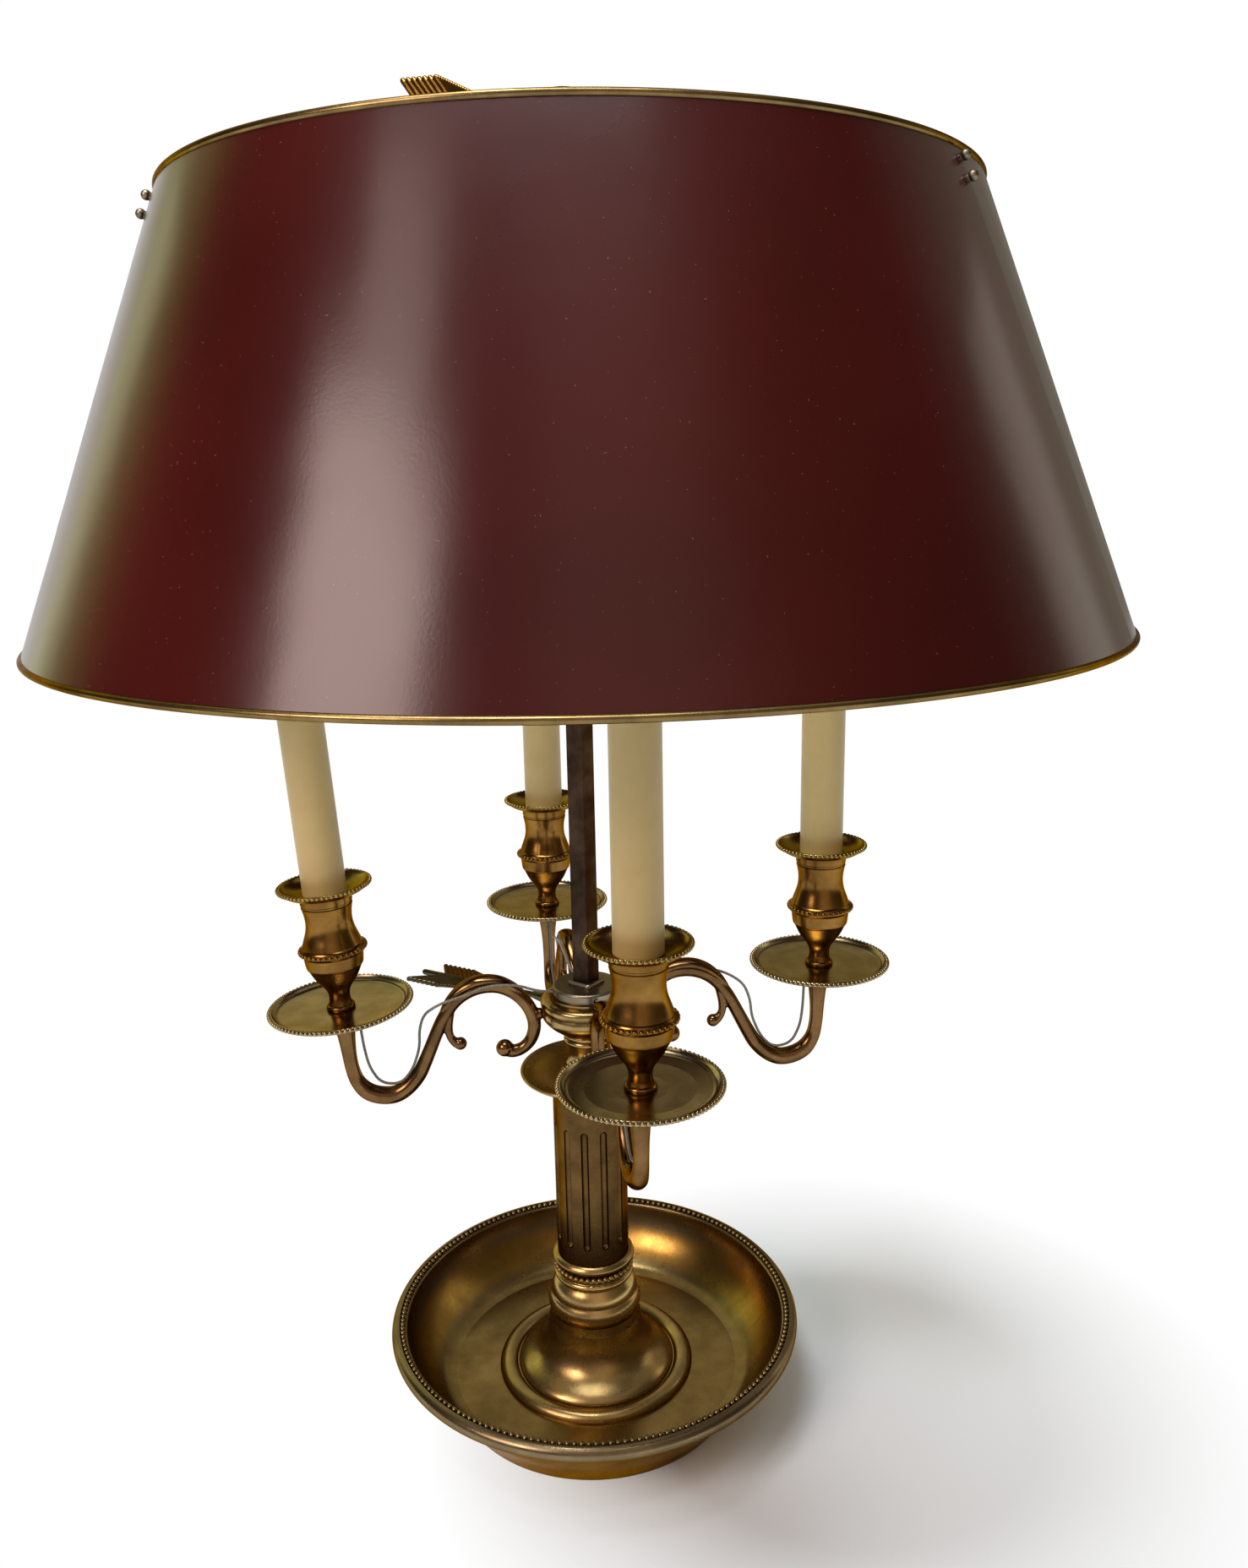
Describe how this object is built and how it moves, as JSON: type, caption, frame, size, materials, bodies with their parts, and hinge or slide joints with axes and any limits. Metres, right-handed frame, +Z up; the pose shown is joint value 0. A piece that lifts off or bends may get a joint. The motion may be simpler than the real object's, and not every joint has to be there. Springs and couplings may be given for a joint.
{
  "type": "bouillotte lamp",
  "caption": "Bouillotte table lamp: dished base, fluted column and square rod, with a sliding cluster of candle arms and a sliding painted shade held by arrow-shaped keys.",
  "frame": {"origin": "centre of the base's underside, on the table", "axes": "+Z up along the rod; the candle arms stand near -Y (front), +X (right), +Y (back) and -X (left)"},
  "size_m": [0.5797, 0.5798, 0.7855],
  "materials": {
    "aged_brass": "satin, softly worn",
    "bronze_patina": "dark brown-green patina, semi-gloss",
    "arm_brass": "polished, copper-brown",
    "gilt_brass": "polished",
    "pan_brass": "polished, pale olive-gold",
    "ivory_sleeve": "smooth, slight sheen",
    "holder_plastic": "matt black",
    "bulb_glass": "clear",
    "wire_grey": "thin flexible covering, slight sheen",
    "steel": "plain",
    "felt": "felt",
    "weight_iron": "rough",
    "shade_paint": "semi-gloss oxblood paint"
  },
  "bodies": {
    "base": {"base_dish": "aged_brass", "base_rim_beads": "aged_brass", "cable_bush": "holder_plastic", "base_weight": "weight_iron", "base_felt": "felt", "base_washer": "steel", "base_nut": "steel", "foot_dome": "aged_brass", "foot_collar": "aged_brass", "collar_bead_ring": "aged_brass", "column": "aged_brass", "column_disc": "aged_brass", "square_rod": "bronze_patina"},
    "cluster": {"arm_hub": "bronze_patina", "hub_cap": "bronze_patina", "arm_screws": "steel", "cup_nipples": "steel", "arm_front": "arm_brass", "arm_right": "arm_brass", "arm_back": "arm_brass", "arm_left": "arm_brass", "arm_wire_front": "wire_grey", "arm_wire_right": "wire_grey", "arm_wire_back": "wire_grey", "arm_wire_left": "wire_grey", "drip_pan_front": "pan_brass", "drip_pan_right": "pan_brass", "drip_pan_back": "pan_brass", "drip_pan_left": "pan_brass", "candle_cup_front": "gilt_brass", "candle_cup_right": "gilt_brass", "candle_cup_back": "gilt_brass", "candle_cup_left": "gilt_brass", "cup_dish_front": "gilt_brass", "cup_dish_right": "gilt_brass", "cup_dish_back": "gilt_brass", "cup_dish_left": "gilt_brass", "candle_sleeve_front": "ivory_sleeve", "candle_sleeve_right": "ivory_sleeve", "candle_sleeve_back": "ivory_sleeve", "candle_sleeve_left": "ivory_sleeve", "lamp_holder_front": "holder_plastic", "lamp_holder_right": "holder_plastic", "lamp_holder_back": "holder_plastic", "lamp_holder_left": "holder_plastic", "bulb_front": "bulb_glass", "bulb_right": "bulb_glass", "bulb_back": "bulb_glass", "bulb_left": "bulb_glass"},
    "hub_key": {"hub_key": "bronze_patina"},
    "shade": {"shade_panel_1": "shade_paint", "shade_panel_2": "shade_paint", "shade_panel_3": "shade_paint", "shade_bottom_rim": "gilt_brass", "shade_top_rim": "gilt_brass", "shade_carrier": "gilt_brass", "shade_spider": "gilt_brass", "shade_rivets": "gilt_brass"},
    "shade_key": {"shade_key": "gilt_brass"}
  },
  "joints": [
    {"name": "cluster_slide", "type": "slide", "parent": "base", "child": "cluster", "axis": [0, 0, 1], "range_m": [0, 0.04]},
    {"name": "hub_key_turn", "type": "hinge", "parent": "cluster", "child": "hub_key", "pos_m": [0, 0, 0.2595], "axis": [-0.7061, 0.7061, -0.0523], "continuous": true},
    {"name": "shade_slide", "type": "slide", "parent": "base", "child": "shade", "axis": [0, 0, 1], "range_m": [-0.06, 0]},
    {"name": "shade_key_turn", "type": "hinge", "parent": "shade", "child": "shade_key", "pos_m": [0, 0, 0.7555], "axis": [-0.7032, 0.7032, 0.1045], "continuous": true}
  ]
}
